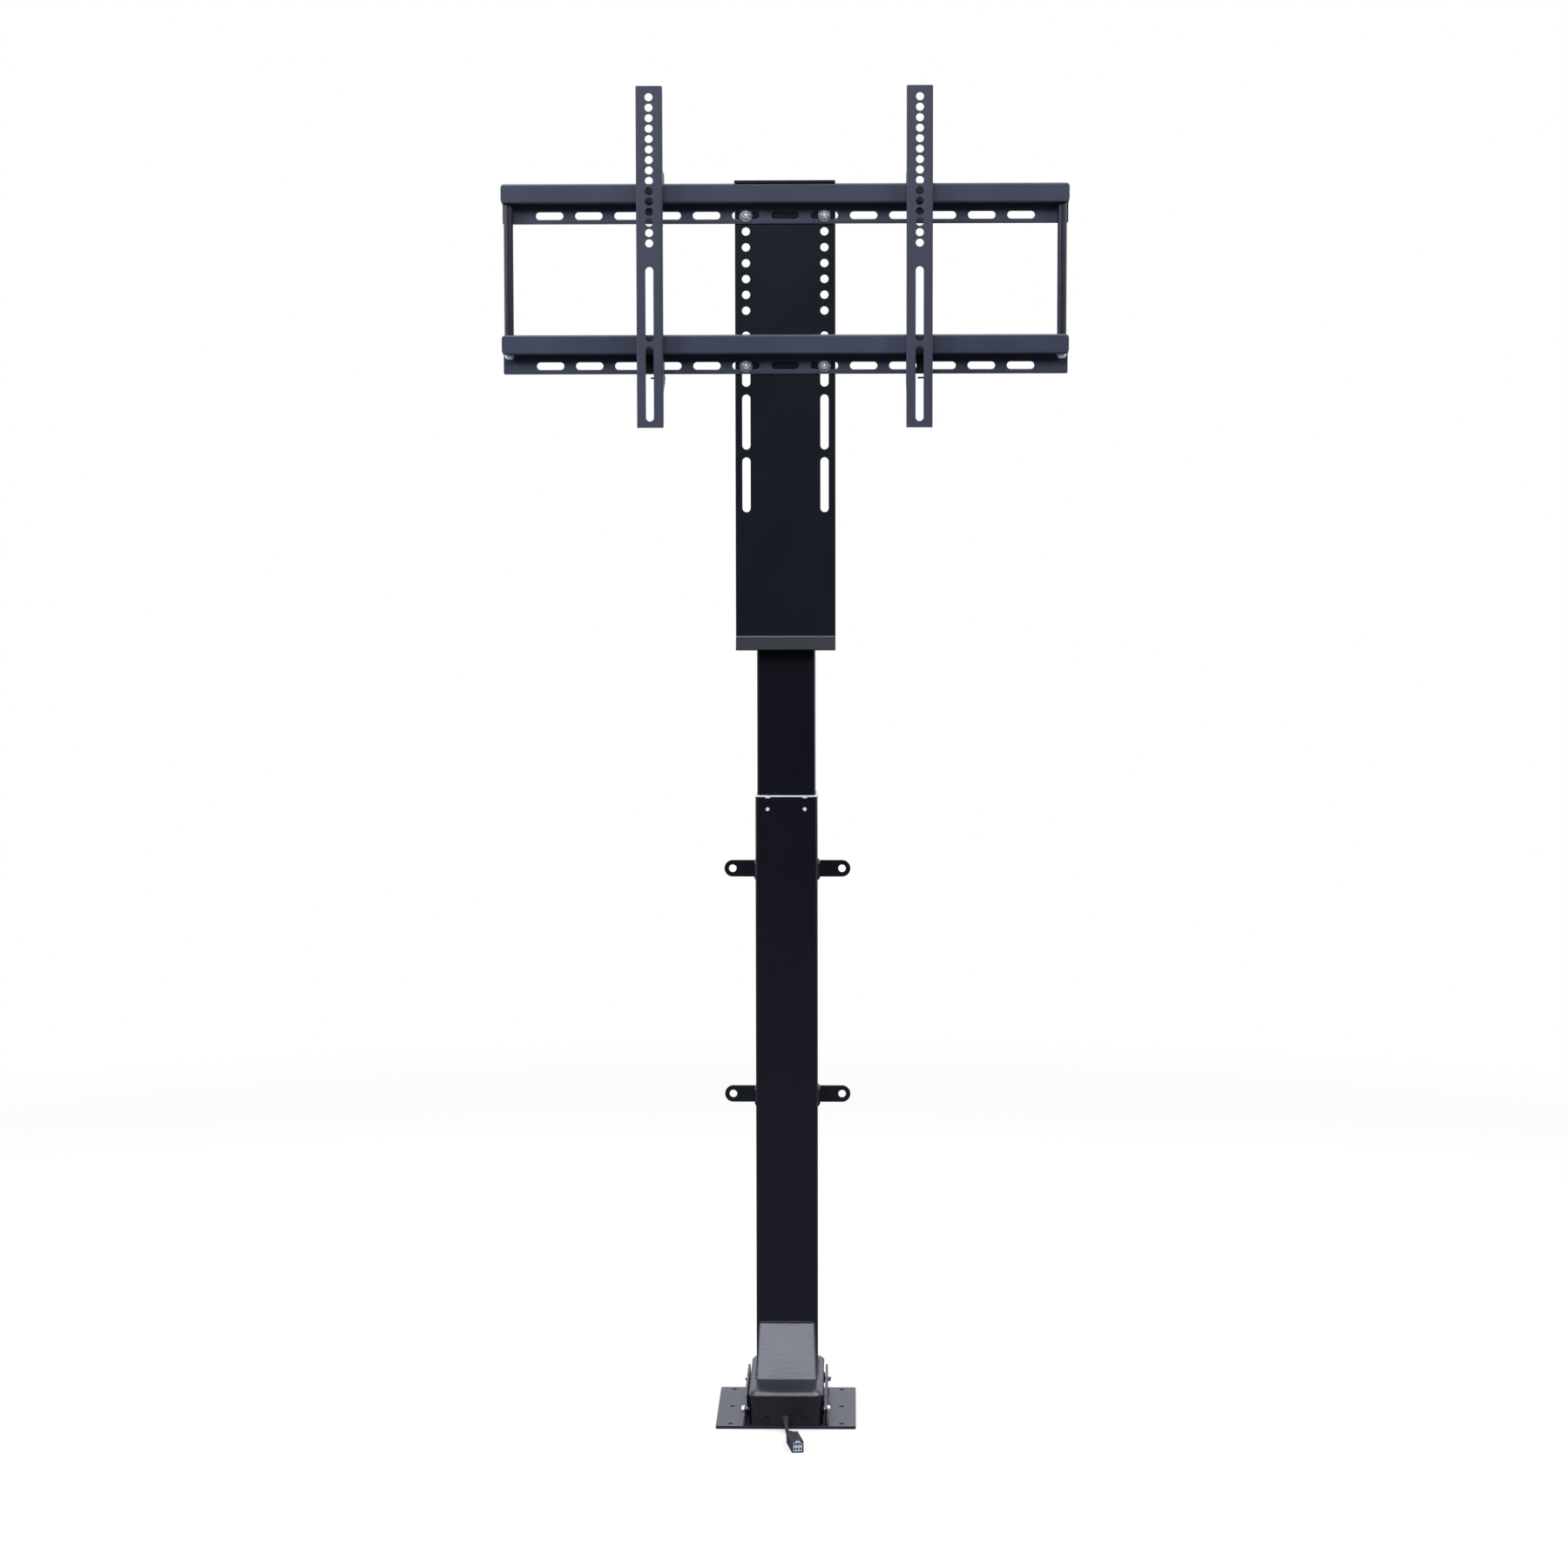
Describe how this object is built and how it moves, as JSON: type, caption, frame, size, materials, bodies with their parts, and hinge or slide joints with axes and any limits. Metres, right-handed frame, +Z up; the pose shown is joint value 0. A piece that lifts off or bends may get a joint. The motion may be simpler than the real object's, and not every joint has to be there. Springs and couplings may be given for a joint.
{
  "type": "tv lift mechanism",
  "caption": "Motorised screen lift: telescoping square column on a floor plate, carrying a slotted plate, two rails and two sliding hook-on screen arms.",
  "frame": {"origin": "underside of the base plate, at its middle", "axes": "+Z up, -Y to the front where the screen hangs, +X to the right seen from the front"},
  "size_m": [0.72, 0.3237, 1.708],
  "materials": {
    "frame_paint": "satin black powder coat",
    "tube_paint": "satin black paint over drawn steel",
    "arm_paint": "fine textured dark grey powder coat",
    "zinc_steel": "bright zinc plate",
    "steel": "turned steel, lightly oiled",
    "nylon": "natural white nylon",
    "black_plastic": "moulded black plastic",
    "lead_jacket": "smooth black jacket",
    "bronze": "turned bronze"
  },
  "bodies": {
    "base": {"base_plate": "frame_paint", "ear_left": "frame_paint", "ear_right": "frame_paint", "ear_bolt_front_left": "zinc_steel", "ear_bolt_front_right": "zinc_steel", "ear_bolt_back_left": "zinc_steel", "ear_bolt_back_right": "zinc_steel", "motor_housing": "frame_paint", "ramp_cover": "frame_paint", "outer_tube": "tube_paint", "lug_upper_left": "frame_paint", "lug_upper_right": "frame_paint", "lug_lower_left": "frame_paint", "lug_lower_right": "frame_paint", "glide_collar": "nylon", "glide_pip_left": "nylon", "glide_pip_right": "nylon", "motor_can": "steel", "motor_end_bell": "steel", "gearbox_case": "black_plastic", "gearbox_cap": "black_plastic", "spindle_bearing": "steel", "strain_relief": "black_plastic", "lead": "lead_jacket", "connector_shell": "black_plastic", "connector_insert": "nylon"},
    "worm": {"worm_shaft": "steel"},
    "lower_spindle": {"worm_wheel": "nylon", "lower_screw": "steel"},
    "middle_stage": {"middle_tube": "tube_paint", "middle_foot": "steel", "lower_nut": "bronze", "middle_glide": "nylon", "middle_collar": "nylon", "upper_bearing": "steel"},
    "upper_spindle": {"upper_screw": "steel"},
    "head": {"inner_tube": "tube_paint", "inner_foot": "steel", "upper_nut": "bronze", "inner_glide": "nylon", "head_bracket": "frame_paint", "mounting_plate": "frame_paint", "top_rail": "frame_paint", "bottom_rail": "frame_paint", "rail_bolt_top_left": "zinc_steel", "rail_bolt_top_right": "zinc_steel", "rail_bolt_bottom_left": "zinc_steel", "rail_bolt_bottom_right": "zinc_steel", "side_bar_left": "arm_paint", "side_bar_right": "arm_paint", "bar_screw_left": "zinc_steel", "bar_screw_right": "zinc_steel"},
    "arm_left": {"arm_left": "arm_paint", "lock_pin_left": "zinc_steel"},
    "arm_right": {"arm_right": "arm_paint", "lock_pin_right": "zinc_steel"}
  },
  "joints": [
    {"name": "lift_lower", "type": "slide", "parent": "base", "child": "middle_stage", "axis": [0, 0, 1], "range_m": [-0.375, 0.125]},
    {"name": "lift_upper", "type": "slide", "parent": "middle_stage", "child": "head", "axis": [0, 0, 1], "range_m": [-0.375, 0.125]},
    {"name": "lower_screw_turn", "type": "hinge", "parent": "base", "child": "lower_spindle", "pos_m": [0, 0.041, 0.1], "axis": [0, 0, 1], "range_deg": [-4501, 13501]},
    {"name": "upper_screw_turn", "type": "hinge", "parent": "middle_stage", "child": "upper_spindle", "pos_m": [0, 0.041, 0.6], "axis": [0, 0, 1], "range_deg": [-4501, 13501]},
    {"name": "worm_turn", "type": "hinge", "parent": "base", "child": "worm", "pos_m": [-0.024, 0.041, 0.0235], "axis": [0, 1, 0], "range_deg": [-67510, 202510]},
    {"name": "arm_left_slide", "type": "slide", "parent": "head", "child": "arm_left", "axis": [1, 0, 0], "range_m": [-0.15, 0.085]},
    {"name": "arm_right_slide", "type": "slide", "parent": "head", "child": "arm_right", "axis": [1, 0, 0], "range_m": [-0.085, 0.15]}
  ],
  "couplings": [
    {"joint": "lift_upper", "follows": "lift_lower", "ratio": 1},
    {"joint": "lower_screw_turn", "follows": "lift_lower", "rad_per_m": -628.32},
    {"joint": "upper_screw_turn", "follows": "lift_lower", "rad_per_m": -628.32},
    {"joint": "worm_turn", "follows": "lift_lower", "rad_per_m": -9424.8}
  ]
}
